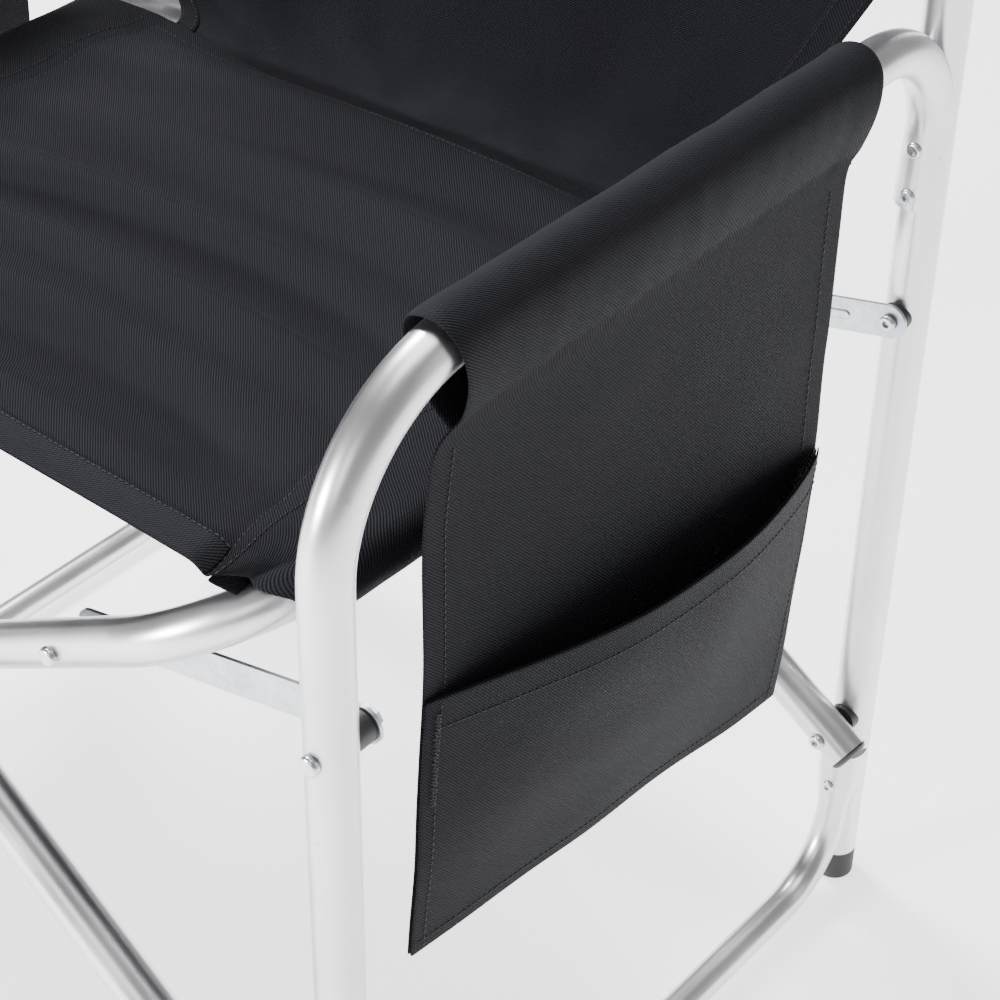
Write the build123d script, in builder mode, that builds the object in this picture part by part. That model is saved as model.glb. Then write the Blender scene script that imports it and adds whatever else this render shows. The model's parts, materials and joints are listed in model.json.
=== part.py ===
from build123d import *
import os
from math import cos, radians, sin, sqrt, tan

os.makedirs("parts", exist_ok=True)

# ---------------------------------------------------------------- sizes, mm
# Frame: +Z up, the sitter faces -Y, +X is the sitter's left. Floor at Z = 0.
side_x = 300.0  # middle plane of each side frame
tube_r = 12.5  # 25 mm round aluminium tube
wall = 1.5
bore_r = tube_r - wall
fit = 0.05  # radial play of a pin in its hole

# side frame
leg_y, leg_lean = -235.3, 0.019  # front leg: y at the floor, y gained per mm of height
post_y, post_lean = 230.0, 0.016  # rear post
arm_z = 604.5  # centre of the arm tube
arm_front_bend = 88.0
arm_rear_bend = 60.0
tail_offset = 3.2  # arm tail ahead of the post's centre line
tail_r = 14.0  # the tail is pressed wider than the tube to cup the post
tail_flare = 36.0  # height over which the tube widens to the tail
tail_end_z = 500.0
tail_bolt_z = (535.0, 508.0)
post_top_z = 826.0
foot_h = 22.0  # visible height of the rubber foot
cap_h = 4.0

# floor runner
runner_r = 10.0
runner_z = 12.0
runner_bend = 55.0
runner_offset = 10.4  # its upturned end, ahead of the post's centre line
saddle_r = 14.0
saddle_offset = 6.2
saddle_z = (92.0, 112.0)
runner_bolt_z = 86.0

# crossing U tubes
rail_x, rail_z = 251.0, 467.0
low_pivot_z = 139.0
rail_front_y = leg_y + leg_lean * rail_z
rail_rear_y = post_y + post_lean * rail_z - 6.0
rail_bend = 95.0
slope = radians(30.77)
rail_to_centre = 292.1
centre_to_low = 349.2
end_past_pivot = 18.0
# each step of an end plug's flange: distance from the tube's end, radius, height, taper in degrees
plug_steps = ((0.05, 12.5, 1.2, 0), (1.25, 12.5, 1.4, 40), (2.65, 11.3, 1.0, 65))
stand_off = 28.5  # centre line of a cross tube from that of the leg beside it
bolt_r = 3.0

# link struts
link_on_frame_z = 431.2
link_from_centre = 138.0
link_half_width = 10.0
link_t = 2.0
link_play = 1.4  # clear gap between a cross tube and what its strut carries

# textiles
sleeve_in, sleeve_out = 13.0, 14.6  # radii of the sewn tunnels round the tubes
cloth_t = 1.6
seat_z = rail_z + sleeve_in  # underside of the seat cloth
seat_outline = [
    (-205, -210),
    (205, -210),
    (251, -155),
    (251, 138),
    (190, 174),
    (-190, 174),
    (-251, 138),
    (-251, -155),
]
back_z = (484.0, 640.0, 650.0, 815.0)  # foot, end of the free part, sleeves' foot and head
arm_sleeve_arc = 25.0  # degrees of the front bend that the sleeve covers
arm_sleeve_rear = 150.0
panel_x = 309.0
panel_outline = [
    (-145, 588),
    (146, 588),
    (142, 470),
    (137, 400),
    (121, 236),
    (-194, 278),
    (-182, 431),
    (-170, 572),
]
pocket_hem = ((-179, 432), (133, 400))
pocket_foot = ((-191, 284), (120, 243))
pocket_bulge = (30.0, 5.0)


def leg_at(z):
    """Y of the front leg's centre line at height z."""
    return leg_y + leg_lean * z


def post_at(z):
    """Y of the rear post's centre line at height z."""
    return post_y + post_lean * z


def tail_front_at(z):
    """Y of the arm tail's front surface at height z, where the tube widens to the tail."""
    widened = min(1.0, (arm_z - arm_rear_bend - z) / tail_flare)
    return post_at(z) - tail_offset - tube_r - (tail_r - tube_r) * widened


centre_z = low_pivot_z + centre_to_low * sin(slope)
low_u = rail_to_centre + centre_to_low
link_u = rail_to_centre - link_from_centre
link_x = link_from_centre * cos(slope)
link_z = centre_z + link_from_centre * sin(slope)

# y of each cross tube's lower pivot: tube a stands behind the right legs, tube b before the left
low_y = {
    "a": (leg_at(low_pivot_z) + stand_off, post_at(low_pivot_z) + stand_off),
    "b": (leg_at(low_pivot_z) - stand_off, post_at(low_pivot_z) - stand_off),
}


def cross_y(tube, end, u):
    """Y of a cross tube's sloping leg, end 0 front or 1 rear, at distance u below its rail."""
    top = (rail_front_y, rail_rear_y)[end]
    return top + (low_y[tube][end] - top) * u / low_u


def save(part, name):
    """Label a finished sub-part and write its STEP file."""
    part.label = name
    export_step(part, f"parts/{name}.step")


def front_view(x, y, z):
    """Plane at a point, square to Y and facing the front of the chair."""
    return Plane(origin=(x, y, z), x_dir=(1, 0, 0), z_dir=(0, -1, 0))


def side_view(x):
    """Plane square to X whose first axis is Y and second is Z."""
    return Plane(origin=(x, 0, 0), x_dir=(0, 1, 0), z_dir=(1, 0, 0))


def leg_section(x, z, behind=0.0):
    """Plane square to the front leg at height z, shifted rearward by behind."""
    return Plane(origin=(x, leg_at(z) + behind, z), x_dir=(1, 0, 0), z_dir=(0, leg_lean, 1))


def post_section(x, z, ahead=0.0):
    """Plane square to the rear post at height z, shifted forward by ahead."""
    return Plane(origin=(x, post_at(z) - ahead, z), x_dir=(1, 0, 0), z_dir=(0, post_lean, 1))


def pin(x, z, front, back, radius):
    """A round bar along Y."""
    with BuildPart() as bar:
        with BuildSketch(front_view(x, front, z)):
            Circle(radius)
        extrude(amount=front - back)
    return bar.part


def bolt(x, z, front, back, radius, head_r, head_h, socket, nut=True):
    """A domed bolt along Y with its head at front, and a nut against back."""
    with BuildPart() as screw:
        with BuildSketch(front_view(x, front, z)):
            Circle(head_r)
        extrude(amount=head_h)
        fillet(screw.faces().sort_by(Axis.Y)[0].edges(), head_h * 0.6)
        if socket:
            with BuildSketch(front_view(x, front - head_h, z)):
                RegularPolygon(head_r * 0.5, 6)
            extrude(amount=-head_h * 0.7, mode=Mode.SUBTRACT)
        with BuildSketch(front_view(x, front, z)):
            Circle(radius)
        extrude(amount=front - back - (3.0 if nut else 0.0))
        if nut:
            with BuildSketch(front_view(x, back, z)):
                RegularPolygon(radius * 1.7, 6)
            extrude(amount=-4.0)
    return screw.part


# ---------------------------------------------------------------- one side frame after the other
for side, x in (("left", side_x), ("right", -side_x)):
    out = 1 if x > 0 else -1
    tube = "b" if x > 0 else "a"  # the cross tube whose lower ends pivot on this side
    near = "a" if x > 0 else "b"  # the cross tube this side's links hold
    low_front, low_rear = low_y[tube]
    leg_low, post_low = leg_at(low_pivot_z), post_at(low_pivot_z)

    # arm and front leg: one bent tube, its rear end turned down and pressed round the post
    tail_top = arm_z - arm_rear_bend * tan(radians(45) + post_lean / 2) - 0.3
    leg_bores = [
        pin(x, low_pivot_z, leg_low - 20, leg_low + 20, bolt_r + fit),
        pin(x, link_on_frame_z, -260, -200, bolt_r + fit),
        pin(x, runner_bolt_z, -260, -200, 2.5 + fit),
    ]
    tail_bores = [pin(x, z, 190, 260, 2.5 + fit) for z in tail_bolt_z]
    tail_seats = [pin(x, z, 190, tail_front_at(z) + 0.8, 4.7) for z in tail_bolt_z]
    with BuildPart() as side_tube:
        with BuildLine(side_view(x)) as route:
            FilletPolyline(
                (leg_at(foot_h), foot_h), (leg_at(arm_z), arm_z), (0, arm_z), radius=arm_front_bend
            )
            FilletPolyline(
                (0, arm_z),
                (post_at(arm_z) - tail_offset, arm_z),
                (post_at(tail_top) - tail_offset, tail_top),
                radius=arm_rear_bend,
            )
        with BuildSketch(leg_section(x, foot_h)):
            Circle(tube_r)
            Circle(bore_r, mode=Mode.SUBTRACT)
        sweep()
        with BuildSketch(post_section(x, tail_top, tail_offset)):
            Circle(tube_r)
        with BuildSketch(post_section(x, tail_top - tail_flare, tail_offset)):
            Circle(tail_r)
        loft()
        with BuildSketch(post_section(x, tail_end_z, tail_offset)):
            Circle(tail_r)
        extrude(amount=tail_top - tail_flare + 0.5 - tail_end_z)
        with BuildSketch(post_section(x, 470)):
            Circle(tube_r + fit)
        extrude(amount=170, mode=Mode.SUBTRACT)
        add(leg_bores + tail_bores + tail_seats, mode=Mode.SUBTRACT)
    save(side_tube.part, f"side_tube_{side}")

    # rear post
    post_bores = [pin(x, z, 190, 260, 2.5 + fit) for z in tail_bolt_z + (runner_bolt_z,)]
    post_bores.append(pin(x, low_pivot_z, 200, 265, bolt_r + fit))
    post_bores.append(pin(x, link_on_frame_z, 200, 265, bolt_r + fit))
    with BuildPart() as rear_post:
        with BuildSketch(post_section(x, foot_h)):
            Circle(tube_r)
            Circle(bore_r, mode=Mode.SUBTRACT)
        extrude(amount=post_top_z - foot_h)
        add(post_bores, mode=Mode.SUBTRACT)
    save(rear_post.part, f"rear_post_{side}")

    # rubber feet and the cap on the post
    for name, section in (("front_foot", leg_section), ("rear_foot", post_section)):
        with BuildPart() as foot:
            with BuildSketch(section(x, foot_h)):
                Circle(tube_r)
            extrude(amount=-foot_h - 3)
            with BuildSketch(section(x, foot_h)):
                Circle(bore_r - 0.1)
            extrude(amount=18)
            split(bisect_by=Plane.XY, keep=Keep.TOP)
            fillet(foot.faces().sort_by(Axis.Z)[0].edges(), 2.0)
        save(foot.part, f"{name}_{side}")
    with BuildPart() as post_cap:
        with BuildSketch(post_section(x, post_top_z)):
            Circle(tube_r + 0.3)
        extrude(amount=cap_h)
        fillet(post_cap.faces().sort_by(Axis.Z)[-1].edges(), 2.5)
        with BuildSketch(post_section(x, post_top_z)):
            Circle(bore_r - 0.1)
        extrude(amount=-15)
    save(post_cap.part, f"post_cap_{side}")

    # floor runner: a thinner tube, both ends turned up and pressed round leg and post
    turn_top = runner_z + runner_bend
    rear_y = post_at(turn_top) - runner_offset
    front_y = leg_at(turn_top) + runner_offset
    runner_bores = [
        pin(x, runner_bolt_z, 200, 260, 2.5 + fit),
        pin(x, runner_bolt_z, -260, -200, 2.5 + fit),
    ]
    with BuildPart() as floor_runner:
        with BuildLine(side_view(x)) as runner_route:
            FilletPolyline(
                (front_y, turn_top),
                (front_y, runner_z),
                (rear_y, runner_z),
                (rear_y, turn_top),
                radius=runner_bend - 0.5,
            )
        with BuildSketch(Plane(origin=(x, front_y, turn_top), z_dir=(0, 0, -1))):
            Circle(runner_r)
            Circle(runner_r - wall, mode=Mode.SUBTRACT)
        sweep()
        # each saddle widens from the tube's end to a cup round the post or leg
        for end_y, section in ((rear_y, post_section), (front_y, leg_section)):
            with BuildSketch(Plane((x, end_y, turn_top))):
                Circle(runner_r)
            with BuildSketch(section(x, saddle_z[0], saddle_offset)):
                Circle(saddle_r)
            loft()
            with BuildSketch(section(x, saddle_z[0], saddle_offset)):
                Circle(saddle_r)
            extrude(amount=saddle_z[1] - saddle_z[0])
        with BuildSketch(post_section(x, 0), leg_section(x, 0)):
            Circle(tube_r + fit)
        extrude(amount=130, mode=Mode.SUBTRACT)
        add(runner_bores, mode=Mode.SUBTRACT)
    save(floor_runner.part, f"floor_runner_{side}")

    # screws that hold the arm tail and the runner's saddles
    tail_front = [tail_front_at(z) + 0.75 for z in tail_bolt_z]
    tail_screws = [
        bolt(x, z, y, post_at(z) + tube_r + 0.15, 2.5, 4.5, 2.6, True)
        for z, y in zip(tail_bolt_z, tail_front)
    ]
    with BuildPart() as tail_bolts:
        add(tail_screws)
    save(tail_bolts.part, f"tail_bolts_{side}")
    rear_screw = bolt(
        x,
        runner_bolt_z,
        post_at(runner_bolt_z) - saddle_offset - saddle_r - 0.15,
        post_at(runner_bolt_z) + tube_r + 0.15,
        2.5,
        4.2,
        2.0,
        True,
    )
    front_screw = bolt(
        x,
        runner_bolt_z,
        leg_at(runner_bolt_z) - tube_r - 0.15,
        leg_at(runner_bolt_z) + saddle_offset + saddle_r + 0.15,
        2.5,
        4.2,
        2.0,
        True,
    )
    with BuildPart() as runner_bolts:
        add([rear_screw, front_screw])
    save(runner_bolts.part, f"runner_bolts_{side}")

    # pivots of the cross tube's lower ends: bolts along Y and black cupped spacers
    front_pair = sorted((leg_low, low_front))
    rear_pair = sorted((post_low, low_rear))
    low_screws = [
        bolt(x, low_pivot_z, pair[0] - tube_r - 0.3, pair[1] + tube_r + 0.3, bolt_r, 5.0, 3.0, True)
        for pair in (front_pair, rear_pair)
    ]
    with BuildPart() as low_pivot_bolts:
        add(low_screws)
    save(low_pivot_bolts.part, f"low_pivot_bolts_{side}")
    with BuildPart() as low_spacers:
        for own, other, section in (
            (leg_low, low_front, leg_section),
            (post_low, low_rear, post_section),
        ):
            towards = 1 if other > own else -1
            with BuildSketch(front_view(x, own, low_pivot_z)):
                Circle(9)
                Circle(bolt_r + fit, mode=Mode.SUBTRACT)
            extrude(amount=-towards * (stand_off - tube_r - 0.6))
            with BuildSketch(section(x, low_pivot_z - 20)):
                Circle(tube_r + 0.02)
            extrude(amount=40, mode=Mode.SUBTRACT)
    save(low_spacers.part, f"low_spacers_{side}")

    # link struts: pressed steel strips, each turning on a bolt through its leg or post
    near_front = cross_y(near, 0, link_u) + tube_r
    near_rear = cross_y(near, 1, link_u) - tube_r
    leg_back = leg_at(link_on_frame_z) + tube_r
    post_front = post_at(link_on_frame_z) - tube_r
    front_plate = max(near_front + link_play + 1.0, leg_back + 3.0)
    rear_plate = min(near_rear - link_play - 4.6, post_front - 3.5) - link_t
    inner_x = out * link_x
    link_run = sqrt((side_x - link_x) ** 2 + (link_on_frame_z - link_z) ** 2)
    lean = Vector(inner_x - x, 0, link_z - link_on_frame_z)
    for name, plate_y, rib_out in (("front_link", front_plate, 1), ("rear_link", rear_plate, -1)):
        middle = Vector((inner_x + x) / 2, plate_y, (link_z + link_on_frame_z) / 2)
        rib_at = plate_y + (link_t if rib_out > 0 else 0.0)
        with BuildPart() as link:
            with BuildSketch(Plane(origin=middle, x_dir=lean, z_dir=(0, 1, 0))):
                SlotCenterToCenter(link_run, 2 * link_half_width)
                with Locations((-link_run / 2, 0), (link_run / 2, 0)):
                    Circle(bolt_r + fit, mode=Mode.SUBTRACT)
            extrude(amount=link_t if Plane(middle, lean, (0, 1, 0)).z_dir.Y > 0 else -link_t)
            with BuildSketch(Plane(origin=(middle.X, rib_at, middle.Z), x_dir=lean, z_dir=(0, rib_out, 0))):
                SlotCenterToCenter(link_run - 56, 6)
            extrude(amount=1.0, taper=40)
        save(link.part, f"{name}_{side}")

    # bolts of the struts in the frame, with black spacers and washers
    link_screws = [
        bolt(
            x,
            link_on_frame_z,
            leg_at(link_on_frame_z) - tube_r - 0.15,
            front_plate + link_t + 1.3,
            bolt_r,
            5.5,
            3.4,
            False,
        ),
        bolt(
            x,
            link_on_frame_z,
            rear_plate - 1.3,
            post_at(link_on_frame_z) + tube_r + 0.15,
            bolt_r,
            4.8,
            2.6,
            True,
        ),
    ]
    with BuildPart() as link_bolts:
        add(link_screws)
    save(link_bolts.part, f"link_bolts_{side}")
    leg_line = leg_at(link_on_frame_z)
    post_line = post_at(link_on_frame_z)
    with BuildPart() as link_spacers:
        with BuildSketch(front_view(x, leg_line, link_on_frame_z)):
            Circle(8.5)
            Circle(bolt_r + fit, mode=Mode.SUBTRACT)
        extrude(amount=leg_line - front_plate + 0.25)
        with BuildSketch(front_view(x, post_line, link_on_frame_z)):
            Circle(8.5)
            Circle(bolt_r + fit, mode=Mode.SUBTRACT)
        extrude(amount=post_line - rear_plate - link_t - 0.25)
        with BuildSketch(leg_section(x, link_on_frame_z - 20), post_section(x, link_on_frame_z - 20)):
            Circle(tube_r + 0.02)
        extrude(amount=40, mode=Mode.SUBTRACT)
    save(link_spacers.part, f"link_spacers_{side}")

    # rivets and spacer rings that the struts carry at their inner ends
    with BuildPart() as link_rivets:
        with BuildSketch(front_view(inner_x, front_plate - 1.0, link_z)):
            Circle(5.5)
        extrude(amount=-1.0)
        with BuildSketch(front_view(inner_x, front_plate - 1.0, link_z)):
            Circle(bolt_r)
        extrude(amount=-link_t - 2.4)
        with BuildSketch(front_view(inner_x, front_plate + link_t + 0.15, link_z)):
            Circle(5.5)
        extrude(amount=-2.6)
        with BuildSketch(front_view(inner_x, rear_plate - 0.15, link_z)):
            Circle(4.8)
        extrude(amount=2.6)
        with BuildSketch(front_view(inner_x, near_rear - link_play, link_z)):
            Circle(bolt_r)
        extrude(amount=near_rear - link_play - rear_plate + 1.0)
    save(link_rivets.part, f"link_rivets_{side}")
    with BuildPart() as link_rings:
        with BuildSketch(front_view(inner_x, near_rear - link_play, link_z)):
            Circle(9)
            Circle(bolt_r + fit, mode=Mode.SUBTRACT)
        extrude(amount=near_rear - link_play - rear_plate - link_t - 0.05)
    save(link_rings.part, f"link_rings_{side}")

    # sleeve sewn round the arm tube, covering the end of the front bend
    bend_end = leg_at(arm_z) + arm_front_bend * tan(radians(45) - leg_lean / 2)
    with BuildPart() as arm_sleeve:
        with BuildLine(side_view(x)) as arm_route:
            straight = Line((arm_sleeve_rear, arm_z), (bend_end, arm_z))
            JernArc(straight @ 1, straight % 1, arm_front_bend, arm_sleeve_arc)
        with BuildSketch(Plane(origin=(x, arm_sleeve_rear, arm_z), z_dir=(0, -1, 0))):
            Circle(sleeve_out)
            Circle(sleeve_in, mode=Mode.SUBTRACT)
        sweep()
    save(arm_sleeve.part, f"arm_sleeve_{side}")

    # hanging side panel, and the pocket bellying out from its outer face
    with BuildPart() as side_panel:
        with BuildSketch(side_view(out * panel_x)):
            Polygon(*panel_outline, align=None)
        extrude(amount=cloth_t / 2, both=True)
    save(side_panel.part, f"side_panel_{side}")
    pocket_x = out * (panel_x + cloth_t / 2 + 0.3)
    with BuildPart() as pocket:
        for shrink, mode in ((0.0, Mode.ADD), (cloth_t, Mode.SUBTRACT)):
            for (front, rear), bulge in zip((pocket_hem, pocket_foot), pocket_bulge):
                run = Vector(0, rear[0] - front[0], rear[1] - front[1])
                middle = Vector(pocket_x, (front[0] + rear[0]) / 2, (front[1] + rear[1]) / 2 + shrink)
                half = run.length / 2 - shrink
                with BuildSketch(Plane(origin=middle, x_dir=run, z_dir=(0, -run.Z, run.Y))):
                    with BuildLine():
                        ThreePointArc((-half, 0), (0, -out * (bulge - shrink)), (half, 0))
                        Line((half, 0), (-half, 0))
                    make_face()
            loft(mode=mode)
    save(pocket.part, f"pocket_{side}")

# ---------------------------------------------------------------- crossing U tubes
for tube, out in (("a", 1), ("b", -1)):
    down = Vector(-out * cos(slope), 0, -sin(slope))
    rail = Vector(out * rail_x, 0, rail_z)
    plane = Plane(origin=rail, x_dir=(0, 1, 0), z_dir=(-sin(slope), 0, out * cos(slope)))
    end_u = low_u + end_past_pivot
    ends = [(cross_y(tube, end, end_u), end_u) for end in (0, 1)]
    low_x = -out * side_x
    bores = [pin(0, centre_z, -400, 400, bolt_r + fit)]
    bores.append(pin(low_x, low_pivot_z, -400, 400, bolt_r + fit))
    bores.append(pin(out * link_x, link_z, -320, -170, 2.5 + fit))
    with BuildPart() as cross_tube:
        with BuildLine(plane) as u_route:
            FilletPolyline(
                ends[0], (rail_front_y, 0), (rail_rear_y, 0), ends[1], radius=rail_bend
            )
        with BuildSketch(Plane(origin=u_route.line @ 0, z_dir=u_route.line % 0)):
            Circle(tube_r)
            Circle(bore_r, mode=Mode.SUBTRACT)
        sweep()
        add(bores, mode=Mode.SUBTRACT)
    save(cross_tube.part, f"cross_tube_{tube}")

    # plugs in the tube's two lower ends, their flanges domed in tapering steps
    with BuildPart() as end_plugs:
        for at, towards in ((0, -1), (1, 1)):
            tip = u_route.line @ at
            along = (u_route.line % at) * towards
            with BuildSketch(Plane(origin=tip + along * 0.05, z_dir=along)):
                Circle(bore_r - 0.1)
            extrude(amount=-10)
            for lift, radius, rise, taper in plug_steps:
                with BuildSketch(Plane(origin=tip + along * lift, z_dir=along)):
                    Circle(radius)
                extrude(amount=rise, taper=taper)
    save(end_plugs.part, f"end_plugs_{tube}")

    rivet_x = out * link_x
    rivet_y = cross_y(tube, 0, link_u)
    with BuildPart() as tube_rivet:
        add(bolt(rivet_x, link_z, rivet_y - tube_r - 0.4, rivet_y + 8, 2.5, 5.5, 3.4, False, nut=False))
    save(tube_rivet.part, f"tube_rivet_{tube}")

centre_front = [cross_y(tube, 0, rail_to_centre) for tube in ("b", "a")]
centre_rear = [cross_y(tube, 1, rail_to_centre) for tube in ("b", "a")]
centre_screws = [
    bolt(0, centre_z, pair[0] - tube_r - 0.7, pair[1] + tube_r + 0.7, bolt_r, 5.0, 3.0, True)
    for pair in (centre_front, centre_rear)
]
with BuildPart() as centre_bolts:
    add(centre_screws)
save(centre_bolts.part, "centre_bolts")

# ---------------------------------------------------------------- seat and back
with BuildPart() as seat_cloth:
    with BuildSketch(Plane.XY.offset(seat_z)):
        Polygon(*seat_outline, align=None)
    extrude(amount=cloth_t)
    with BuildSketch(Plane((0, rail_front_y + rail_bend, rail_z), x_dir=(1, 0, 0), z_dir=(0, 1, 0))):
        with Locations((rail_x, 0), (-rail_x, 0)):
            Circle(sleeve_out)
            Circle(sleeve_in, mode=Mode.SUBTRACT)
    extrude(amount=rail_rear_y - rail_front_y - 2 * rail_bend)
save(seat_cloth.part, "seat_cloth")

with BuildPart() as back_cloth:
    profile = [
        (177, back_z[0]),
        (226, back_z[1]),
        (post_at(back_z[2]), back_z[2]),
        (post_at(back_z[3]), back_z[3]),
    ]
    thick = [(y + cloth_t, z) for y, z in reversed(profile)]
    with BuildSketch(Plane.YZ):
        Polygon(*profile, *thick, align=None)
    extrude(amount=side_x - sleeve_in - 0.5, both=True)
    half_outline = [(190, 480), (253, 585), (286.5, 650), (286.5, 815)]
    outline = half_outline + [(-x, z) for x, z in reversed(half_outline)]
    with BuildSketch(Plane(origin=(0, 300, 0), x_dir=(1, 0, 0), z_dir=(0, -1, 0))):
        Polygon(*outline, align=None)
    extrude(amount=260, mode=Mode.INTERSECT)
    for x in (side_x, -side_x):
        with BuildSketch(post_section(x, back_z[2])):
            Circle(sleeve_out)
            Circle(sleeve_in, mode=Mode.SUBTRACT)
        extrude(amount=back_z[3] - back_z[2])
save(back_cloth.part, "back_cloth")
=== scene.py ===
import json
import math

import bpy
import numpy as np
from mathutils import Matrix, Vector, noise


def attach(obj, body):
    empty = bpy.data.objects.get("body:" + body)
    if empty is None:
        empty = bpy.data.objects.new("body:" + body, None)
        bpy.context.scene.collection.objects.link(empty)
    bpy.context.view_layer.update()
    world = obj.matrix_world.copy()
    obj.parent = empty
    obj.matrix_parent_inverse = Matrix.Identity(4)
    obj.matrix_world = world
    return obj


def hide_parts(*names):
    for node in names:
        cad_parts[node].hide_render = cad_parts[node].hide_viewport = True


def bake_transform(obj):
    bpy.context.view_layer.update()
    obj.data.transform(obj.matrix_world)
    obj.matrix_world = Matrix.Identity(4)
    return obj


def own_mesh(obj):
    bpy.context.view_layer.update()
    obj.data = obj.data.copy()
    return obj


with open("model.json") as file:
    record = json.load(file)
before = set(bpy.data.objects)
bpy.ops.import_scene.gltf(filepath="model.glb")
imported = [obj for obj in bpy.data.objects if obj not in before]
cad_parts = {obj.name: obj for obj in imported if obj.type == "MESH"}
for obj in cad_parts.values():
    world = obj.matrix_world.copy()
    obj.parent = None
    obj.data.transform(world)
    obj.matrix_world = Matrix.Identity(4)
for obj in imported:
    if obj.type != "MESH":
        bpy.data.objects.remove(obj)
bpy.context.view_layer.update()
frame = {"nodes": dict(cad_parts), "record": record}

MM = 0.001
POST_X = 0.300  # the rear posts and arm tubes, off the middle
BACK_HALF = 0.2875  # half the back's width at the sleeves

# ---------------------------------------------------------------- camera, light and world
camera_data = bpy.data.cameras.new("camera")
camera_data.lens = 86.42
camera_data.sensor_width = 36.0
camera_data.shift_x = 0.0099
camera_data.shift_y = 0.0124
camera = bpy.data.objects.new("camera", camera_data)
camera.location = (0.8451, -0.7667, 1.1465)
camera.rotation_euler = (math.radians(52.528), 0.0, math.radians(40.137))
bpy.context.scene.collection.objects.link(camera)
bpy.context.scene.camera = camera


def link(obj):
    """Put a new object in the scene."""
    bpy.context.scene.collection.objects.link(obj)
    return obj


def add_light(name, location, target, size, power, colour=(1.0, 1.0, 1.0)):
    """A square soft box at location, aimed at target."""
    data = bpy.data.lights.new(name, "AREA")
    data.shape = "RECTANGLE"
    data.size, data.size_y = size
    data.energy = power
    data.color = colour
    obj = link(bpy.data.objects.new(name, data))
    obj.location = location
    aim = Vector(target) - Vector(location)
    obj.rotation_euler = aim.to_track_quat("-Z", "Y").to_euler()
    return obj


add_light("key", (-1.3, 0.6, 2.4), (0.0, 0.0, 0.45), (0.6, 0.8), 105)
add_light("front", (0.6, -2.3, 1.7), (0.1, 0.0, 0.4), (0.9, 1.0), 8)
add_light("graze", (-0.9, -2.1, 0.98), (0.0, 0.05, 0.48), (0.5, 0.25), 85)
add_light("side", (2.3, 0.9, 1.3), (0.2, 0.0, 0.35), (0.8, 1.8), 4)
add_light("top", (0.3, 0.3, 2.9), (0.1, 0.0, 0.4), (1.6, 1.6), 36)

world = bpy.data.worlds.new("studio")
bpy.context.scene.world = world
world.use_nodes = True
background = world.node_tree.nodes["Background"]
background.inputs["Color"].default_value = (1.0, 1.0, 1.0, 1.0)
background.inputs["Strength"].default_value = 0.34


# ---------------------------------------------------------------- node helpers
def new_material(name):
    """A material with a bare Principled shader, and the tools to wire it."""
    material = bpy.data.materials.new(name)
    material.use_nodes = True
    tree = material.node_tree
    shader = tree.nodes["Principled BSDF"]
    return material, tree, shader


def node(tree, kind, inputs=None, **settings):
    """Add a node, set its options, and wire or set its inputs."""
    made = tree.nodes.new(kind)
    for key, value in settings.items():
        setattr(made, key, value)
    for key, value in (inputs or {}).items():
        if isinstance(value, bpy.types.NodeSocket):
            tree.links.new(value, made.inputs[key])
        else:
            made.inputs[key].default_value = value
    return made


def ramp(tree, source, stops):
    """A colour ramp fed by source; stops are (position, grey or rgb)."""
    made = node(tree, "ShaderNodeValToRGB", {"Fac": source})
    elements = made.color_ramp.elements
    while len(elements) < len(stops):
        elements.new(0.5)
    for element, (position, colour) in zip(elements, stops):
        element.position = position
        rgb = (colour,) * 3 if isinstance(colour, float) else colour
        element.color = (*rgb, 1.0)
    return made.outputs["Color"]


def maths(tree, operation, a, b=None):
    """One Math node."""
    made = node(tree, "ShaderNodeMath", {0: a}, operation=operation)
    if b is not None:
        if isinstance(b, bpy.types.NodeSocket):
            tree.links.new(b, made.inputs[1])
        else:
            made.inputs[1].default_value = b
    return made.outputs[0]


def bump(tree, shader, height, distance, strength=1.0):
    """Feed a height into the shader's normal."""
    made = node(tree, "ShaderNodeBump", {"Height": height, "Distance": distance, "Strength": strength})
    tree.links.new(made.outputs["Normal"], shader.inputs["Normal"])


# ---------------------------------------------------------------- metals and plastics
def tube_material():
    """Satin anodised aluminium: fine grain, soft cloudy patches, a few small dark scuffs."""
    material, tree, shader = new_material("anodised_tube")
    place = node(tree, "ShaderNodeTexCoord").outputs["Object"]
    grain = node(tree, "ShaderNodeTexNoise", {"Vector": place, "Scale": 900.0, "Detail": 2.0}).outputs["Fac"]
    cloud = node(tree, "ShaderNodeTexNoise", {"Vector": place, "Scale": 22.0, "Detail": 5.0}).outputs["Fac"]
    spots = node(tree, "ShaderNodeTexVoronoi", {"Vector": place, "Scale": 34.0, "Randomness": 1.0})
    spot = ramp(tree, spots.outputs["Distance"], [(0.035, 1.0), (0.075, 0.0)])
    tint = ramp(tree, cloud, [(0.3, (0.64, 0.64, 0.66)), (0.7, (0.73, 0.73, 0.745))])
    scuffed = node(
        tree,
        "ShaderNodeMix",
        {"Factor": maths(tree, "MULTIPLY", spot, 0.35), "A": tint, "B": (0.42, 0.42, 0.43, 1.0)},
        data_type="RGBA",
    )
    tree.links.new(scuffed.outputs["Result"], shader.inputs["Base Color"])
    rough = ramp(tree, cloud, [(0.25, 0.27), (0.75, 0.37)])
    tree.links.new(rough, shader.inputs["Roughness"])
    shader.inputs["Metallic"].default_value = 1.0
    height = maths(tree, "ADD", maths(tree, "MULTIPLY", grain, 0.15), maths(tree, "MULTIPLY", cloud, 1.0))
    bump(tree, shader, height, 0.00025, 0.35)
    return material


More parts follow.
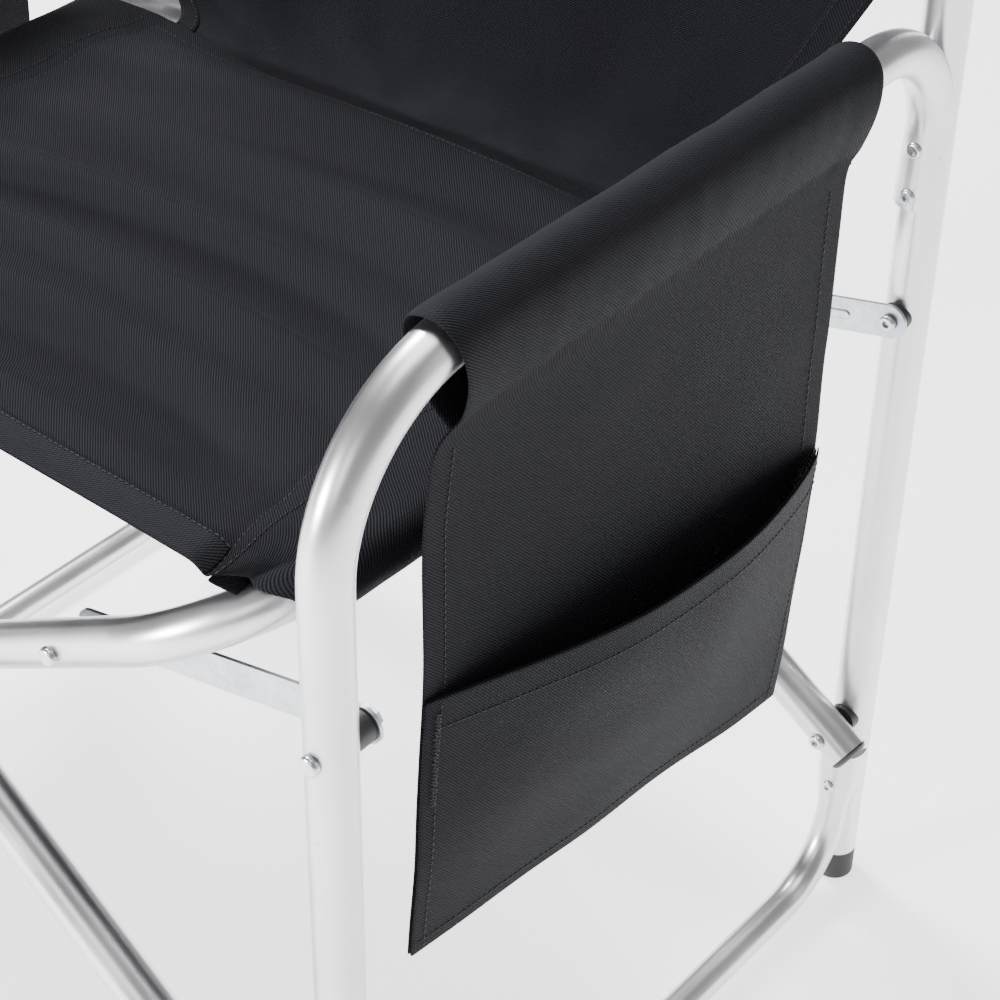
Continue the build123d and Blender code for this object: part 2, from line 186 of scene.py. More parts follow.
def zinc_material(name, tone, roughness):
    """Zinc-plated steel with the mottled grain of thin plating."""
    material, tree, shader = new_material(name)
    place = node(tree, "ShaderNodeTexCoord").outputs["Object"]
    mottle = node(tree, "ShaderNodeTexNoise", {"Vector": place, "Scale": 260.0, "Detail": 6.0}).outputs["Fac"]
    broad = node(tree, "ShaderNodeTexNoise", {"Vector": place, "Scale": 35.0, "Detail": 3.0}).outputs["Fac"]
    blend = maths(tree, "ADD", maths(tree, "MULTIPLY", mottle, 0.5), maths(tree, "MULTIPLY", broad, 0.5))
    dark = tuple(c * 0.72 for c in tone)
    tree.links.new(ramp(tree, blend, [(0.35, dark), (0.65, tone)]), shader.inputs["Base Color"])
    rough = ramp(tree, blend, [(0.3, roughness + 0.1), (0.7, roughness - 0.05)])
    tree.links.new(rough, shader.inputs["Roughness"])
    shader.inputs["Metallic"].default_value = 1.0
    bump(tree, shader, mottle, 0.0001, 0.5)
    return material


def plastic_material(name, grey, roughness):
    """Moulded black plastic or rubber with a fine spark-eroded grain."""
    material, tree, shader = new_material(name)
    place = node(tree, "ShaderNodeTexCoord").outputs["Object"]
    grain = node(tree, "ShaderNodeTexNoise", {"Vector": place, "Scale": 1500.0, "Detail": 2.0}).outputs["Fac"]
    dust = node(tree, "ShaderNodeTexNoise", {"Vector": place, "Scale": 60.0, "Detail": 5.0}).outputs["Fac"]
    colour = ramp(tree, dust, [(0.35, grey), (0.8, grey * 2.2)])
    tree.links.new(colour, shader.inputs["Base Color"])
    tree.links.new(ramp(tree, dust, [(0.3, roughness), (0.8, roughness + 0.15)]), shader.inputs["Roughness"])
    bump(tree, shader, grain, 0.00012, 0.4)
    return material


# ---------------------------------------------------------------- woven cloth
def weave_material(name, tone, pitch=1.3 * MM, turn=45.0, sheen=0.02):
    """Black twill: diagonal ribs of short floats, read from a UV map laid out in metres, with a painted
    highlight on the rib crowns and painted shade in the gaps between them.
    """
    material, tree, shader = new_material(name)
    flat = node(tree, "ShaderNodeUVMap", uv_map="weave").outputs["UV"]
    turned = node(
        tree, "ShaderNodeVectorRotate", {"Vector": flat, "Angle": math.radians(turn)}, rotation_type="Z_AXIS"
    ).outputs["Vector"]
    drift = node(tree, "ShaderNodeTexNoise", {"Vector": flat, "Scale": 90.0, "Detail": 2.0}).outputs["Fac"]
    axes = node(tree, "ShaderNodeSeparateXYZ", {"Vector": turned})
    wander = maths(tree, "MULTIPLY", drift, 0.5 * pitch)
    across = maths(tree, "ADD", axes.outputs["X"], wander)
    rib_at = maths(tree, "MULTIPLY", across, 1.0 / pitch)
    rib = maths(tree, "ABSOLUTE", maths(tree, "SINE", maths(tree, "MULTIPLY", rib_at, math.pi)))
    row = maths(tree, "FLOOR", rib_at)
    step = maths(tree, "MULTIPLY", row, 0.37)
    along = maths(tree, "ADD", maths(tree, "MULTIPLY", axes.outputs["Y"], 1.0 / (1.9 * pitch)), step)
    float_gap = maths(tree, "ABSOLUTE", maths(tree, "SINE", maths(tree, "MULTIPLY", along, math.pi)))
    soft_gap = maths(tree, "POWER", float_gap, 0.45)
    height = maths(tree, "MULTIPLY", rib, maths(tree, "ADD", maths(tree, "MULTIPLY", soft_gap, 0.45), 0.55))
    fleck = node(tree, "ShaderNodeTexNoise", {"Vector": flat, "Scale": 700.0, "Detail": 2.0}).outputs["Fac"]
    fade = node(tree, "ShaderNodeTexNoise", {"Vector": flat, "Scale": 9.0, "Detail": 4.0}).outputs["Fac"]
    # painted light: the colour follows rib height, with a painted highlight on the crowns and painted shade
    # in the gaps, broken up by the random fleck
    painted_rib_light = maths(tree, "MULTIPLY", height, maths(tree, "ADD", maths(tree, "MULTIPLY", fleck, 0.9), 0.55))
    painted_gap_shade = tuple(c * 0.15 for c in tone)
    painted_crown_highlight = tuple(c * 4.2 for c in tone)
    colour = ramp(tree, painted_rib_light, [(0.12, painted_gap_shade), (0.9, painted_crown_highlight)])
    worn = node(
        tree,
        "ShaderNodeMix",
        {
            "Factor": ramp(tree, fade, [(0.35, 0.0), (0.75, 0.22)]),
            "A": colour,
            "B": (*(c * 1.6 for c in tone), 1.0),
        },
        data_type="RGBA",
    )
    tree.links.new(worn.outputs["Result"], shader.inputs["Base Color"])
    tree.links.new(ramp(tree, fleck, [(0.2, 0.62), (0.8, 0.8)]), shader.inputs["Roughness"])
    shader.inputs["Sheen Weight"].default_value = sheen
    shader.inputs["Sheen Roughness"].default_value = 0.45
    shader.inputs["Sheen Tint"].default_value = (0.75, 0.8, 0.95, 1.0)
    shader.inputs["Specular IOR Level"].default_value = 0.11
    bump(tree, shader, height, 0.0006, 0.8)
    return material


def thread_material(name, tone):
    """Twisted sewing thread."""
    material, tree, shader = new_material(name)
    place = node(tree, "ShaderNodeTexCoord").outputs["Object"]
    twist = node(tree, "ShaderNodeTexNoise", {"Vector": place, "Scale": 2500.0, "Detail": 1.0}).outputs["Fac"]
    colour = ramp(tree, twist, [(0.3, tuple(c * 0.5 for c in tone)), (0.7, tone)])
    tree.links.new(colour, shader.inputs["Base Color"])
    shader.inputs["Roughness"].default_value = 0.55
    return material


tube_finish = tube_material()
strut_finish = zinc_material("zinc_strut", (0.60, 0.65, 0.70), 0.34)
screw_finish = zinc_material("zinc_screw", (0.78, 0.80, 0.83), 0.24)
foot_finish = plastic_material("rubber_foot", 0.012, 0.55)
trim_finish = plastic_material("black_trim", 0.010, 0.42)
cloth_tone = (0.0034, 0.0034, 0.0048)
cloth_finish = weave_material("black_twill", cloth_tone)
tape_finish = weave_material("black_tape", (0.0028, 0.0028, 0.0040), pitch=1.5 * MM, turn=45.0, sheen=0.03)
thread_finish = thread_material("black_thread", (0.006, 0.006, 0.0075))

FINISHES = {
    "tube": tube_finish,
    "strut": strut_finish,
    "fastener": screw_finish,
    "foot": foot_finish,
    "plastic": trim_finish,
    "cloth": cloth_finish,
}
for part in frame["record"]["subparts"]:
    shown = frame["nodes"][part["node"]]
    for index in range(len(shown.material_slots)):
        shown.material_slots[index].material = FINISHES[part["material_slot"]]

# ---------------------------------------------------------------- floor
floor_material, _, floor_shader = new_material("pale_floor")
floor_shader.inputs["Base Color"].default_value = (0.97, 0.97, 0.97, 1.0)
floor_shader.inputs["Roughness"].default_value = 0.75
floor_shader.inputs["Emission Color"].default_value = (1.0, 1.0, 1.0, 1.0)
floor_shader.inputs["Emission Strength"].default_value = 1.7
floor_mesh = bpy.data.meshes.new("floor")
floor_mesh.from_pydata([(-9, -9, 0), (9, -9, 0), (9, 9, 0), (-9, 9, 0)], [], [(0, 1, 2, 3)])
floor_mesh.materials.append(floor_material)
floor = link(bpy.data.objects.new("floor", floor_mesh))

# ---------------------------------------------------------------- cloth-making tools
def wrinkle(x, y, seed):
    """Smooth noise, about -1 to 1."""
    return noise.noise(Vector((x, y, seed)))


def smooth(a, b, t):
    """0 below a, 1 above b, eased between."""
    t = min(1.0, max(0.0, (t - a) / (b - a)))
    return t * t * (3.0 - 2.0 * t)


def run_lengths(points):
    """Distance along a row of points, starting from 0."""
    steps = np.linalg.norm(np.diff(points, axis=0), axis=1)
    return np.concatenate([[0.0], np.cumsum(steps)])


def weave_uv(grid, shift=(0.0, 0.0)):
    """Flat cloth coordinates in metres for a grid of points."""
    across = np.mean([run_lengths(row) for row in grid], axis=0)
    along = np.mean([run_lengths(column) for column in np.swapaxes(grid, 0, 1)], axis=0)
    u, v = np.meshgrid(across + shift[0], along + shift[1])
    return np.stack([u, v], axis=-1)


def cloth_piece(name, grid, material, thickness=1.1 * MM, subdivide=1, uv=None):
    """A woven sheet from a grid of points, rows by columns, with real thickness."""
    rows, columns = grid.shape[:2]
    uv = weave_uv(grid) if uv is None else uv
    faces = [
        (r * columns + c, r * columns + c + 1, (r + 1) * columns + c + 1, (r + 1) * columns + c)
        for r in range(rows - 1)
        for c in range(columns - 1)
    ]
    mesh = bpy.data.meshes.new(name)
    mesh.from_pydata(grid.reshape(-1, 3).tolist(), [], faces)
    layer = mesh.uv_layers.new(name="weave")
    flat = uv.reshape(-1, 2)
    corners = np.array(faces).reshape(-1)
    layer.data.foreach_set("uv", flat[corners].reshape(-1))
    mesh.materials.append(material)
    mesh.shade_smooth()
    obj = link(bpy.data.objects.new(name, mesh))
    thick = obj.modifiers.new("thickness", "SOLIDIFY")
    thick.thickness = thickness
    thick.offset = 0.0
    if subdivide:
        finer = obj.modifiers.new("smooth", "SUBSURF")
        finer.levels = finer.render_levels = subdivide
    return obj


def resample(points, step):
    """Points spaced evenly along a polyline."""
    points = np.asarray(points, float)
    lengths = run_lengths(points)
    count = max(2, int(round(lengths[-1] / step)))
    wanted = np.linspace(0.0, lengths[-1], count + 1)
    return np.stack([np.interp(wanted, lengths, points[:, k]) for k in range(3)], axis=1)


STITCH_SHAPE = (  # along the stitch, width, height
    (-1.0, 0.25, -0.1),
    (-0.75, 0.9, 0.5),
    (0.0, 1.0, 0.75),
    (0.75, 0.9, 0.5),
    (1.0, 0.25, -0.1),
)


def stitches(name, lines, length=3.0 * MM, gap=1.0 * MM, width=0.55 * MM, material=None):
    """Separate rounded stitches along lines, each a list of (point, surface normal)."""
    vertices, faces = [], []
    for line in lines:
        points = resample([p for p, _ in line], length + gap)
        source = np.array([p for p, _ in line])
        normals = np.array([n for _, n in line])
        for start, end in zip(points[:-1], points[1:]):
            run = end - start
            size = np.linalg.norm(run)
            if size < 1e-6:
                continue
            run = run / size
            middle = (start + end) / 2
            up = normals[np.argmin(np.linalg.norm(source - middle, axis=1))]
            side = np.cross(run, up)
            side /= np.linalg.norm(side)
            up = np.cross(side, run)
            base = len(vertices)
            half = length / 2
            for along, wide, high in STITCH_SHAPE:
                centre = middle + run * along * half + up * high * width * 0.5
                for turn in range(6):
                    a = math.pi / 3 * turn
                    off = side * math.cos(a) * wide * width / 2 + up * math.sin(a) * wide * width / 2
                    vertices.append(centre + off)
            for ring in range(4):
                for turn in range(6):
                    a = base + ring * 6 + turn
                    b = base + ring * 6 + (turn + 1) % 6
                    faces.append((a, b, b + 6, a + 6))
            faces.append(tuple(base + turn for turn in range(5, -1, -1)))
            faces.append(tuple(base + 24 + turn for turn in range(6)))
    mesh = bpy.data.meshes.new(name)
    mesh.from_pydata([tuple(v) for v in vertices], [], faces)
    mesh.materials.append(material or thread_finish)
    mesh.shade_smooth()
    return link(bpy.data.objects.new(name, mesh))


def grid_normals(grid):
    """Unit normals of a grid of points."""
    normal = np.cross(np.gradient(grid, axis=1), np.gradient(grid, axis=0))
    return normal / np.maximum(np.linalg.norm(normal, axis=-1, keepdims=True), 1e-9)


def row_line(grid, normals, row, first, last, lift, flip=1.0):
    """A stitch line along part of one row, lifted off the cloth."""
    return [
        (grid[row, c] + normals[row, c] * lift * flip, normals[row, c] * flip) for c in range(first, last + 1)
    ]


def column_line(grid, normals, column, first, last, lift, flip=1.0):
    """A stitch line along part of one column, lifted off the cloth."""
    return [
        (grid[r, column] + normals[r, column] * lift * flip, normals[r, column] * flip)
        for r in range(first, last + 1)
    ]


def bilinear(grid, row, column):
    """A point or normal between the grid's lines."""
    r0, c0 = int(min(row, grid.shape[0] - 2)), int(min(column, grid.shape[1] - 2))
    fr, fc = row - r0, column - c0
    top = grid[r0, c0] * (1 - fc) + grid[r0, c0 + 1] * fc
    low = grid[r0 + 1, c0] * (1 - fc) + grid[r0 + 1, c0 + 1] * fc
    return top * (1 - fr) + low * fr


def spline(points, count):
    """Points along a smooth curve through the given ones."""
    points = np.array(points, float)
    padded = np.vstack([2 * points[0] - points[1], points, 2 * points[-1] - points[-2]])
    out = []
    for t in np.linspace(0, len(points) - 1 - 1e-9, count):
        i, f = int(t), t - int(t)
        a, b, c, d = padded[i], padded[i + 1], padded[i + 2], padded[i + 3]
        out.append(
            0.5 * (2 * b + (c - a) * f + (2 * a - 5 * b + 4 * c - d) * f**2 + (3 * b - a - 3 * c + d) * f**3)
        )
    return np.array(out)


# ---------------------------------------------------------------- seat
RAIL_X, RAIL_Z = 0.251, 0.467
RAIL_FRONT, RAIL_REAR = -0.1314, 0.138  # ends of the straight rail, y
RAIL_BEND = 0.095
SLOPE = math.radians(30.77)
SEAM_X = 0.200
SLEEVE_R = 0.0138
BEND_COVER = math.radians(42.0)
MOUTH_SLANT = 0.042  # how much sooner the tunnel ends under the rail than over it
SEAT_REAR, SEAT_FRONT = 0.160, -0.215

seat_rows = 96


def seam_x(share):
    """Where the sleeve's seam runs; it spreads a little at the front corner."""
    return SEAM_X + 0.014 * smooth(0.78, 1.0, share)


def rail_frame(share, side):
    """Centre and two cross axes of the rail, from its rear end (0) to the sleeve's mouth (1)."""
    straight = RAIL_REAR + 0.012 - RAIL_FRONT
    total = straight + RAIL_BEND * BEND_COVER
    run = share * total
    down = np.array([-side * math.cos(SLOPE), 0.0, -math.sin(SLOPE)])
    normal = np.array([-side * math.sin(SLOPE), 0.0, math.cos(SLOPE)])
    if run <= straight:
        centre = np.array([side * RAIL_X, RAIL_REAR + 0.012 - run, RAIL_Z])
        return centre, -down, normal
    turn = (run - straight) / RAIL_BEND
    centre = np.array([side * RAIL_X, RAIL_FRONT - RAIL_BEND * math.sin(turn), RAIL_Z])
    centre = centre + down * RAIL_BEND * (1.0 - math.cos(turn))
    outward = -down * math.cos(turn) + np.array([0.0, -1.0, 0.0]) * math.sin(turn)
    return centre, outward, normal


def seat_height(x, y):
    """Top of the stretched seat between its sleeves: sag, and folds running side to side."""
    side = 1.0 - (x / SEAM_X) ** 2
    sag = -0.010 * max(side, 0.0) * (0.65 + 0.35 * math.cos(y * 6.0))
    bow = 0.030 * (x / SEAM_X) ** 2 - 0.035 * x
    ripple = wrinkle(x * 2.4 + 4.0, (y + bow) * 20.0, 3.7) + 0.5 * wrinkle(x * 3.5, (y + bow) * 41.0, 9.1)
    ridge = math.sin(96.0 * (y + bow) + 2.6 * wrinkle(x * 2.0, y * 6.0, 12.3))
    ripple = 0.60 * ripple + 0.34 * ridge
    strength = 0.0150 * (0.40 + 0.55 * smooth(1.0, 0.5, abs(x) / SEAM_X))
    strength *= smooth(-0.225, -0.14, y)
    return 0.4800 + sag + ripple * strength


def seat_grid():
    """Rows from rear to front; columns from one lower seam over the seat to the other."""
    rows = []
    for j in range(seat_rows):
        share = j / (seat_rows - 1)
        flanks = []
        for side in (-1, 1):
            centre, outward, normal = rail_frame(share, side)
            seam_y = SEAT_REAR + (SEAT_FRONT - SEAT_REAR) * share
            seam_z = seat_height(side * SEAM_X, seam_y) - 0.0006
            seam_z -= 0.004 * smooth(0.9, 1.0, share)
            seam = np.array([side * seam_x(share), seam_y, seam_z])
            mouth = smooth(0.86, 1.0, share)
            radius = SLEEVE_R + 0.0012 * mouth
            top_angle = math.radians(60.0 + 14.0 * mouth)
            low_angle = math.radians(-118.0)
            wrap = []
            for k in range(19):
                angle = top_angle + (low_angle - top_angle) * k / 18
                loose = 0.0010 * (1 + wrinkle(share * 9.0, angle * 1.2, side * 5.0))
                loose += 0.0012 * mouth * max(0.0, -math.sin(angle))
                reach = radius + loose
                early = MOUTH_SLANT * smooth(0.75, 1.0, share) * smooth(0.95, -0.2, math.sin(angle))
                centre, outward, normal = rail_frame(share - early, side)
                wrap.append(centre + outward * reach * math.cos(angle) + normal * reach * math.sin(angle))
            top = []
            for k in range(14):
                t = k / 14
                point = seam * (1 - t) + wrap[0] * t
                puff = 0.0010 + 0.0014 * wrinkle(share * 16.0, t * 1.6, side * 8.0)
                puff *= math.sin(math.pi * t)
                top.append(point + np.array([0.0, 0.0, puff]))
            low = []
            for k in range(1, 13):
                t = k / 12
                target = seam + np.array([0.0, 0.0, -0.0022])
                point = wrap[-1] * (1 - t) + target * t
                droop = -0.003 * math.sin(math.pi * t)
                low.append(point + np.array([0.0, 0.0, droop]))
            flanks.append(top + wrap + low)
        middle = []
        for k in range(1, 64):
            x = seam_x(share) * (k / 32 - 1)
            front = SEAT_FRONT + 0.008 * max(0.0, 1 - (x / SEAM_X) ** 2)
            y = SEAT_REAR + (front - SEAT_REAR) * share
            middle.append(np.array([x, y, seat_height(x, y)]))
        rows.append(flanks[0][::-1] + middle + flanks[1])
    return np.array(rows)


seat = seat_grid()
columns = seat.shape[1]
seam_left = 14 + 19 + 12 - 1  # the column of the seam on the -X side
seam_right = columns - 1 - seam_left
# the double seams pull the cloth down a little
for column in (seam_left, seam_right):
    seat[:, column, 2] -= 0.0007
seat_normals = grid_normals(seat)
if seat_normals[seat_rows // 2, columns // 2, 2] < 0:
    seat_normals = -seat_normals
seat_cloth = cloth_piece("seat_fabric", seat, cloth_finish)
lift = 0.0007
seat_lines = []
for column in (seam_left - 3, seam_left, seam_right, seam_right + 3):
    seat_lines.append(column_line(seat, seat_normals, column, 2, seat_rows - 1, lift))
seat_lines.append(row_line(seat, seat_normals, 3, seam_left, seam_right, lift))
seat_thread = stitches("seat_stitching", seat_lines)


def edge_band(name, grid, normals, rows, first, last, lift, material):
    """A folded hem lying on a sheet between two rows of its grid."""
    band = []
    for row in rows:
        line = [bilinear(grid, row, c) + bilinear(normals, row, c) * lift for c in range(first, last + 1)]
        band.append(line)
    return cloth_piece(name, np.array(band), material, thickness=1.0 * MM)


hem_rows = np.linspace(seat_rows - 1.0, seat_rows - 6.2, 7)
seat_hem = edge_band(
    "seat_front_hem", seat, seat_normals, hem_rows, seam_left, seam_right, 0.0011, tape_finish
)
hem_line = []
for c in range(seam_left, seam_right + 1):
    out = bilinear(seat_normals, seat_rows - 5.8, c)
    hem_line.append((bilinear(seat, seat_rows - 5.8, c) + out * 0.0018, out))
hem_thread = stitches("seat_hem_stitching", [hem_line])
for piece in (seat_cloth, seat_thread, seat_hem, hem_thread):
    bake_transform(piece)
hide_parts("seat_cloth")

# ---------------------------------------------------------------- back
def post_y(z):
    """Centre line of the rear posts."""
    return 0.230 + 0.016 * z


BACK_SLEEVE, BACK_HEAD = 0.648, 0.815
SLEEVE_SHARE = 0.87  # where the sleeves' seams run, as a share of the half width
SEAM_LAP = 0.03
back_rows_low, back_rows_high = 56, 44
back_columns = 96


# the free lower part, from its seam on the seat up to the sleeves: y, z and half width
BACK_CURVE = [
    (0.150, 0.4765, 0.197),
    (0.164, 0.4765, 0.195),
    (0.182, 0.4800, 0.195),
    (0.198, 0.4950, 0.203),
    (0.209, 0.5300, 0.223),
    (0.216, 0.5850, 0.2545),
    (0.2262, 0.6480, BACK_HALF),
]


def back_low_point(share, t, profile):
    """A point of the lower back; share runs -1 to 1 across it, t 0 to 1 up it."""
    y, z, half = profile
    # the far edge hangs wider between the seat and the sleeve
    x = share * half * (1.0 + (0.20 * smooth(0.15, 0.5, t) * smooth(1.0, 0.75, t) if share < 0 else 0.0))
    centre = 1.0 - share**2
    sag = (seat_height(x, 0.157) - 0.4800) * smooth(0.35, 0.0, t)
    tuck = -0.0022 * smooth(0.06, 0.0, t)
    bow = 0.016 * centre * smooth(0.35, 1.0, t)
    fold = wrinkle(share * 3.0 + 1.6 * t, t * 2.6 - abs(share) * 2.2, 5.5) * 0.0085
    fold += wrinkle(share * 7.0 + 3.0 * t, t * 5.5 - share, 2.5) * 0.0030
    fold *= smooth(0.05, 0.30, t) * smooth(1.0, 0.72, t) * min(1.0, 3.0 * (1.03 - abs(share)))
    return np.array([x, y + bow + fold * 0.9, z + sag + tuck - fold * 0.4])


def back_high_point(share, z):
    """A point of the upper back's front sheet."""
    centre = 1.0 - share**2
    fold = wrinkle(share * 2.5, z * 7.0, 7.7) * 0.003 * centre * smooth(0.648, 0.68, z)
    y = post_y(z) - 0.0142 + 0.016 * centre + fold
    return np.array([share * BACK_HALF, y, z])


def back_grid_low():
    """The free lower part, between the seat and the sleeves."""
    shares = np.linspace(-1, 1, back_columns)
    profiles = spline(BACK_CURVE, back_rows_low)
    steps = np.linspace(0.0, 1.0, back_rows_low)
    return np.array([[back_low_point(s, t, profile) for s in shares] for t, profile in zip(steps, profiles)])


def back_grid_high():
    """The upper part between the two sleeves."""
    heights = np.linspace(BACK_SLEEVE - 0.008, BACK_HEAD, back_rows_high)
    shares = np.linspace(-SLEEVE_SHARE - SEAM_LAP, SLEEVE_SHARE + SEAM_LAP, back_columns)
    grid = np.array([[back_high_point(s, z) for s in shares] for z in heights])
    # the lap at the sleeves lies behind them, the lap at the bottom in front of the lower part
    behind = [0.0018 * smooth(SLEEVE_SHARE - 0.03, SLEEVE_SHARE, abs(s)) for s in shares]
    front = [0.0016 * smooth(BACK_SLEEVE + 0.012, BACK_SLEEVE, z) for z in heights]
    grid[:, :, 1] += np.array(behind)[None, :] - np.array(front)[:, None]
    return grid


def back_sleeve_grid(side):
    """One sleeve: the front sheet outside the seam, round the post and back to the seam."""
    rows = []
    for z in np.linspace(BACK_SLEEVE, BACK_HEAD, back_rows_high):
        row = [back_high_point(side * s, z) for s in np.linspace(SLEEVE_SHARE, 1.0, 10)]
        centre = np.array([side * POST_X, post_y(z), z])
        for k in range(1, 21):
            angle = math.radians(-100 + 190.0 * k / 20)
            reach = 0.0142 + 0.0008 * (1 + wrinkle(z * 20.0, angle, side * 3.0))
            row.append(centre + np.array([side * math.cos(angle) * reach, math.sin(angle) * reach, 0.0]))
        inner = row[0] + np.array([0.0, 0.0022, 0.0])
        last = row[-1]
        row += [last * (1 - k / 8) + inner * (k / 8) for k in range(1, 9)]
        rows.append(row)
    return np.array(rows)


low, high = back_grid_low(), back_grid_high()
back_low = cloth_piece("back_lower", low, cloth_finish, uv=weave_uv(low, (0.06, 0.0)))
back_high = cloth_piece("back_upper", high, cloth_finish, uv=weave_uv(high, (0.0, 0.17)))
low_normals, high_normals = grid_normals(low), grid_normals(high)
if low_normals[20, 40, 1] > 0:
    low_normals, high_normals = -low_normals, -high_normals
edge_rows = range(0, back_rows_low)
tapes, tape_lines = [], []
for side in (-1, 1):
    strip = []
    for r in edge_rows:
        line = []
        for c in (-0.4, 1.0, 2.4, 3.8):
            at = c if side < 0 else back_columns - 1 - c
            at = min(max(at, 0.0), back_columns - 1.001)
            line.append(bilinear(low, r, at) + bilinear(low_normals, r, at) * 0.0012)
        strip.append(line)
    strip = np.array(strip)
    tape_name = "back_edge_tape_" + ("left" if side > 0 else "right")
    tapes.append(cloth_piece(tape_name, strip, tape_finish, thickness=1.0 * MM))
    for c in (0.6, 3.2):
        at = c if side < 0 else back_columns - 1 - c
        line = []
        for r in edge_rows:
            out = bilinear(low_normals, r, at)
            line.append((bilinear(low, r, at) + out * 0.0019, out))
        tape_lines.append(line)
back_thread = stitches("back_stitching", tape_lines)
back_pieces = [back_low, back_high, back_thread] + tapes
for piece in back_pieces:
    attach(piece, "frame_left")
for piece in (back_low, back_thread, *tapes):
    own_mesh(piece)
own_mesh(back_high)
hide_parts("back_cloth")
for side, name in ((1, "left"), (-1, "right")):
    sleeve = back_sleeve_grid(side)
    sleeve_normals = grid_normals(sleeve)
    if sleeve_normals[20, 2, 1] > 0:
        sleeve_normals = -sleeve_normals
    sleeve_cloth = cloth_piece("back_sleeve_" + name, sleeve, cloth_finish, uv=weave_uv(sleeve, (0.25, 0.17)))
    sleeve_lines = [column_line(sleeve, sleeve_normals, c, 0, back_rows_high - 1, lift) for c in (1, 3)]
    sleeve_thread = stitches("back_sleeve_stitching_" + name, sleeve_lines)
    for piece in (sleeve_cloth, sleeve_thread):
        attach(piece, "frame_" + name)

# ---------------------------------------------------------------- arm sleeves, side panels and pockets
ARM_Z = 0.6045
SLEEVE_FRONT, SLEEVE_REAR = -0.156, 0.153


def arm_axis_z(y):
    """Height of the arm tube's centre line, which drops in its front bend."""
    if y >= -0.1375:
        return ARM_Z
    return 0.5165 + math.sqrt(max(0.0, 0.088**2 - (y + 0.1375) ** 2))


SECTION = [  # outward offset from the tube's axis, height offset: from the inner seam round to the panel
    (0.0075, -0.0410),
    (-0.0020, -0.0330),
    (-0.0125, -0.0190),
    (-0.0158, -0.0040),
    (-0.0142, 0.0085),
    (-0.0085, 0.0142),
    (0.0005, 0.0162),
    (0.0090, 0.0138),
    (0.0148, 0.0070),
    (0.0165, -0.0030),
    (0.0158, -0.0140),
    (0.0130, -0.0250),
    (0.0102, -0.0330),
]


PANEL_FRONT = [(0.5715, -0.1600), (0.5600, -0.1700), (0.5200, -0.1745), (0.4310, -0.1790), (0.2790, -0.1940)]
PANEL_REAR = [(0.5715, 0.1440), (0.5600, 0.1400), (0.4710, 0.1390), (0.3970, 0.1350), (0.2370, 0.1140)]


def along_edge(edge, t):
    """Y and z on a panel edge; t runs 0 at the top to 1 at the bottom."""
    heights = [z for z, _ in edge]
    z = heights[0] + (heights[-1] - heights[0]) * t
    y = float(np.interp(-z, [-h for h in heights], [v for _, v in edge]))
    return y, z


def panel_out(y, t):
    """How far the hanging panel stands from the side plane."""
    swing = 0.0092 + 0.0018 * t
    curl = 0.002 * smooth(-0.12, -0.19, y) * smooth(0.45, 1.0, t)
    billow = 0.0022 * wrinkle(y * 7.0, t * 2.2, 1.3) + 0.0012 * wrinkle(y * 16.0, t * 6.0, 4.3)
    return swing - curl + billow * smooth(0.0, 0.2, t)


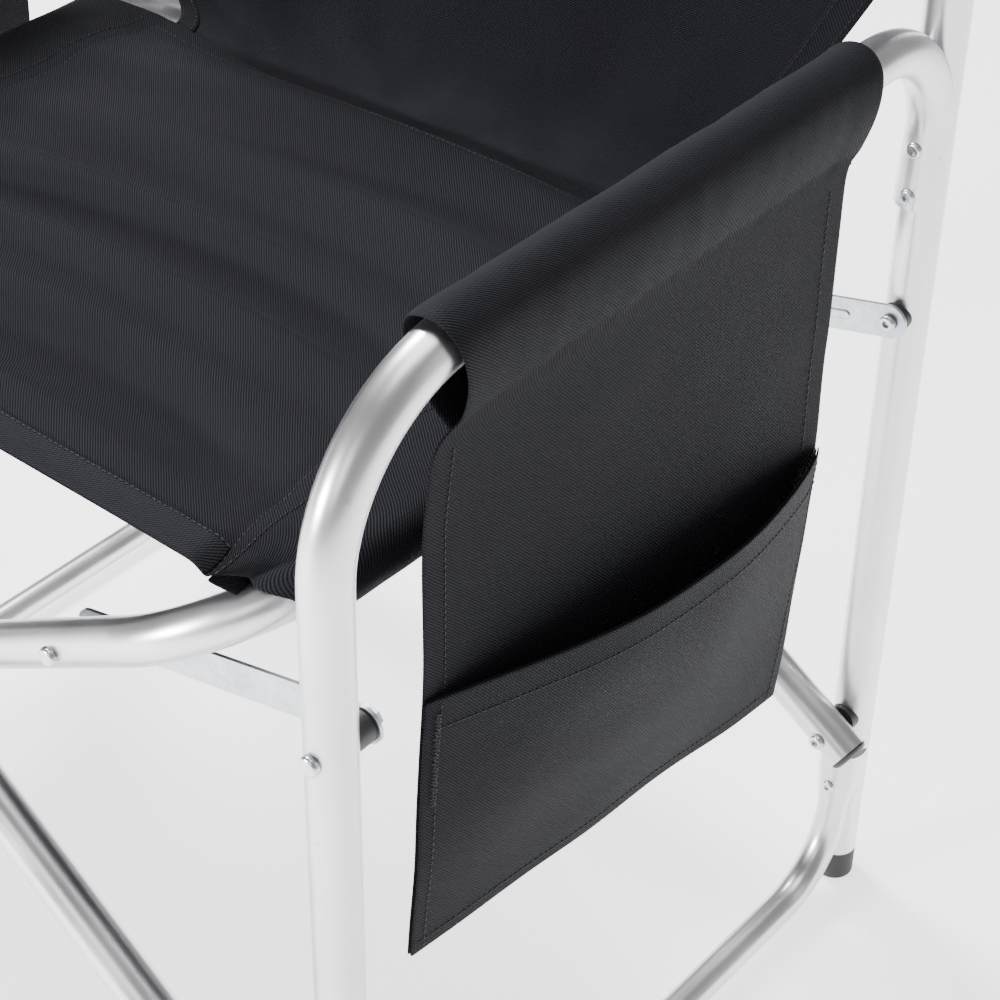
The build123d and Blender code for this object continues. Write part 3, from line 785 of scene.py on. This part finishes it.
def make_side(side, name):
    """One arm's sleeve and hanging panel, its pocket, hems and stitching."""
    body = "frame_" + name
    section = spline(SECTION, 40)
    sleeve_count = len(section)
    panel_count = 70
    stations = 88
    rows = []
    for j in range(stations):
        share = j / (stations - 1)
        y_top = SLEEVE_FRONT + (SLEEVE_REAR - SLEEVE_FRONT) * share
        axis = arm_axis_z(y_top)
        row = []
        for k, (out, up) in enumerate(section):
            around = k / (sleeve_count - 1)
            y = y_top + 0.004 * math.cos(around * math.pi * 2) * (1 - 2 * share)
            mouth = smooth(0.12, 0.0, share) + smooth(0.92, 1.0, share)
            loose = 1.0 + 0.05 * mouth + 0.03 * wrinkle(share * 8.0, around * 2.5, side * 2.0)
            tense = wrinkle(share * 20.0, around * 3.0, side * 6.0) * 0.0006
            z = axis + up * loose + (ARM_Z - axis) * smooth(0.6, 1.0, around)
            row.append((side * (POST_X + out * loose + tense), y, z))
        tail_x = POST_X + section[-1][0]
        for k in range(1, panel_count + 1):
            t = k / panel_count
            front_y, front_z = along_edge(PANEL_FRONT, t)
            rear_y, rear_z = along_edge(PANEL_REAR, t)
            y = front_y + (rear_y - front_y) * share
            z = front_z + (rear_z - front_z) * share
            x = POST_X + panel_out(y, t)
            ease = smooth(0.0, 0.10, t)
            row.append((side * (tail_x * (1 - ease) + x * ease), y, z))
        rows.append(row)
    grid = np.array(rows)
    normals = grid_normals(grid)
    flip = 1.0 if normals[40, -10, 0] * side > 0 else -1.0
    normals = normals * flip
    panel = cloth_piece("arm_panel_" + name, grid, cloth_finish)
    last = grid.shape[1] - 1
    lines = []
    for row in (4, stations - 5):
        lines.append(row_line(grid, normals, row, sleeve_count + 2, last, lift))
    thread = stitches("arm_panel_stitching_" + name, lines)

    # pocket: a second sheet sewn to the panel at both sides and the bottom
    pocket_rows, pocket_columns = 64, 72
    pocket = []
    for r in range(pocket_rows):
        t = r / (pocket_rows - 1)
        line = []
        for c in range(pocket_columns):
            share = c / (pocket_columns - 1)
            hem_z = 0.4315 + (0.4000 - 0.4315) * share
            foot_z = 0.2790 + (0.2370 - 0.2790) * share
            z = hem_z + (foot_z - hem_z) * t
            front_y = float(np.interp(-z, [-h for h, _ in PANEL_FRONT], [v for _, v in PANEL_FRONT]))
            rear_y = float(np.interp(-z, [-h for h, _ in PANEL_REAR], [v for _, v in PANEL_REAR]))
            y = front_y + (rear_y - front_y) * share
            panel_t = min(1.0, (0.5715 - z) / (0.5715 - foot_z))
            flat = POST_X + panel_out(y, panel_t) + 0.0018
            belly = math.sin(math.pi * share ** 1.25) ** 0.8
            reach = 0.0275 * belly * (1 - t) ** 1.15 + 0.004 * belly * math.sin(math.pi * min(1.0, t * 1.05))
            crease = 0.0020 * wrinkle(share * 3.0 - t * 2.2, t * 3.0 + share * 1.5, side * 4.4)
            crease *= math.sin(math.pi * share)
            dip = -0.006 * belly * (1 - t) ** 2
            line.append((side * (flat + reach + crease), y, z + dip))
        pocket.append(line)
    pocket = np.array(pocket)
    pocket_normals = grid_normals(pocket)
    flip = 1.0 if pocket_normals[30, 30, 0] * side > 0 else -1.0
    pocket_normals = pocket_normals * flip
    pouch = cloth_piece("pocket_sheet_" + name, pocket, cloth_finish, uv=weave_uv(pocket, (0.0, 0.005)))
    hem = edge_band(
        "pocket_hem_" + name, pocket, pocket_normals, np.linspace(0.0, 6.6, 5),
        0, pocket_columns - 1, -0.0012, cloth_finish,
    )
    pocket_lines = [
        row_line(pocket, pocket_normals, 7, 1, pocket_columns - 2, lift),
        row_line(pocket, pocket_normals, pocket_rows - 4, 1, pocket_columns - 2, lift),
        column_line(pocket, pocket_normals, 2, 1, pocket_rows - 2, lift),
        column_line(pocket, pocket_normals, pocket_columns - 3, 1, pocket_rows - 2, lift),
    ]
    # bar tack at the pocket's front corner, sewn as a zigzag
    tack = []
    for k in range(54):
        r, c = 3.0 + k * 0.42, 1.0 + 1.1 * (k % 2)
        out = bilinear(pocket_normals, r, c)
        tack.append((bilinear(pocket, r, c) + out * 0.0016, out))
    pocket_lines.append(tack)
    pocket_thread = stitches("pocket_stitching_" + name, pocket_lines)
    for piece in (panel, thread, pouch, hem, pocket_thread):
        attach(piece, body)
    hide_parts("arm_sleeve_" + name, "side_panel_" + name)
    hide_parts("pocket_" + name)


for side, name in ((1, "left"), (-1, "right")):
    make_side(side, name)
